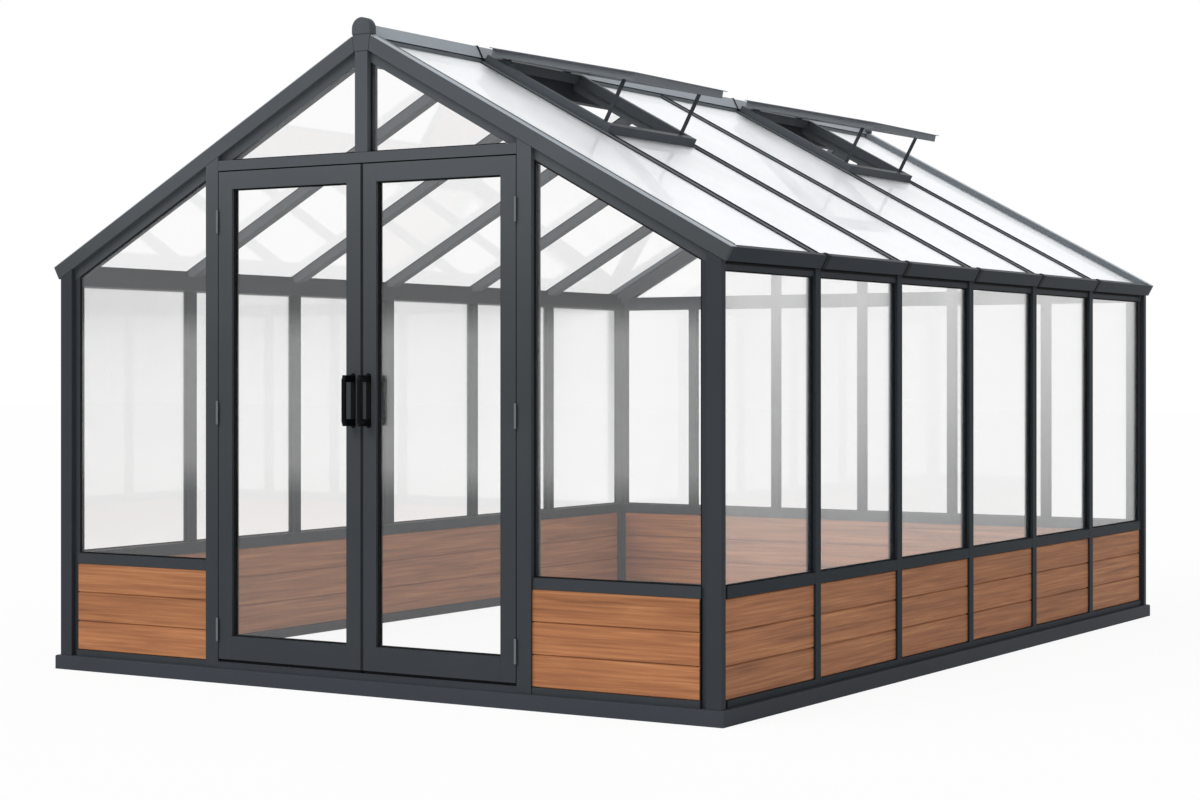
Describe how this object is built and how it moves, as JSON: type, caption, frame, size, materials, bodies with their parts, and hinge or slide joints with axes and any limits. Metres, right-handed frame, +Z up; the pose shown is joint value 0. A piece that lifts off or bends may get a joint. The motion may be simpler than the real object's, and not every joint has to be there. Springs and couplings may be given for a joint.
{
  "type": "greenhouse",
  "caption": "Free-standing gabled garden greenhouse with an aluminium frame, glass walls and roof, timber-look knee wall, double doors and opening roof vents",
  "frame": {"origin": "centre of the overall box at ground level, on the flat underside of the base rails", "axes": "+Z up, -Y out through the doors in the front gable, +Y along the ridge to the back wall, +X to the right seen from outside the doors"},
  "size_m": [3.0788, 4.337, 2.4769],
  "materials": {
    "frame_metal": "fine satin powder coat, anthracite",
    "door_metal": "fine satin powder coat, anthracite",
    "vent_metal": "fine satin powder coat, anthracite",
    "ridge_metal": "satin powder coat seen against the sky",
    "dark_trim": "matte dark trim",
    "board_wood": "brown timber-look board with streaky horizontal grain",
    "wall_glass": "clear float glass",
    "roof_glass": "clear float glass with a bright sky reflection",
    "door_glass": "clear float glass",
    "vent_glass": "clear float glass",
    "gasket": "matte black gasket",
    "handle_black": "satin black",
    "hinge_steel": "bright satin steel"
  },
  "bodies": {
    "frame": {"base_rails": "frame_metal", "base_corner_joiners": "frame_metal", "corner_posts": "frame_metal", "front_jambs": "frame_metal", "door_header": "frame_metal", "door_threshold": "frame_metal", "door_stops": "gasket", "king_post": "frame_metal", "front_sill_rails": "frame_metal", "front_mid_rails": "frame_metal", "front_boards": "board_wood", "front_glass": "wall_glass", "gable_glass": "wall_glass", "side_sill_rails": "frame_metal", "side_mid_rails": "frame_metal", "side_mullions": "frame_metal", "side_mullion_caps": "frame_metal", "side_boards": "board_wood", "side_glass": "wall_glass", "back_sill_rails": "frame_metal", "back_mid_rails": "frame_metal", "back_mullions": "frame_metal", "back_mullion_caps": "frame_metal", "back_transom": "frame_metal", "back_boards": "board_wood", "back_glass": "wall_glass", "eave_beams": "frame_metal", "eave_fascias": "frame_metal", "eave_joint_covers": "dark_trim", "gable_rafters": "frame_metal", "barge_boards": "frame_metal", "ridge_beam": "frame_metal", "ridge_caps": "ridge_metal", "ridge_saddles": "dark_trim", "finials": "frame_metal", "roof_bars": "frame_metal", "roof_bar_caps": "dark_trim", "left_roof_glass": "roof_glass", "right_roof_glass": "roof_glass", "glazing_seals": "gasket", "vent_curbs": "vent_metal", "vent_hinge_pins": "hinge_steel", "door_hinge_frame_leaves": "hinge_steel", "door_hinge_pins": "hinge_steel"},
    "left_door": {"left_door_frame": "door_metal", "left_door_glass": "door_glass", "left_door_seals": "gasket", "left_door_handles": "handle_black", "left_door_hinge_leaves": "hinge_steel"},
    "right_door": {"right_door_frame": "door_metal", "right_door_glass": "door_glass", "right_door_seals": "gasket", "right_door_handles": "handle_black", "right_door_hinge_leaves": "hinge_steel"},
    "vent_1": {"vent_1_sash": "vent_metal", "vent_1_glass": "vent_glass"},
    "vent_1_arms": {"vent_1_stays": "vent_metal"},
    "vent_2": {"vent_2_sash": "vent_metal", "vent_2_glass": "vent_glass"},
    "vent_2_arms": {"vent_2_stays": "vent_metal"}
  },
  "joints": [
    {"name": "right_door_swing", "type": "hinge", "parent": "frame", "child": "right_door", "pos_m": [0.681, -2.1125, 1], "axis": [0, 0, 1], "range_deg": [0, 110]},
    {"name": "left_door_swing", "type": "hinge", "parent": "frame", "child": "left_door", "pos_m": [-0.681, -2.1125, 1], "axis": [0, 0, -1], "range_deg": [0, 110]},
    {"name": "vent_1_lift", "type": "hinge", "parent": "frame", "child": "vent_1", "pos_m": [0.06346, -1.023, 2.42114], "axis": [0, -1, 0], "range_deg": [-16.5, 0]},
    {"name": "vent_1_fold", "type": "hinge", "parent": "vent_1", "child": "vent_1_arms", "pos_m": [0.64796, -1.023, 2.29951], "axis": [0, -1, 0], "range_deg": [-73.5, 0]},
    {"name": "vent_2_lift", "type": "hinge", "parent": "frame", "child": "vent_2", "pos_m": [0.06346, 1.07, 2.42114], "axis": [0, -1, 0], "range_deg": [-16.5, 0]},
    {"name": "vent_2_fold", "type": "hinge", "parent": "vent_2", "child": "vent_2_arms", "pos_m": [0.64796, 1.07, 2.29951], "axis": [0, -1, 0], "range_deg": [-73.5, 0]}
  ],
  "couplings": [
    {"joint": "vent_1_fold", "follows": "vent_1_lift", "ratio": 4.4545},
    {"joint": "vent_2_fold", "follows": "vent_2_lift", "ratio": 4.4545}
  ]
}
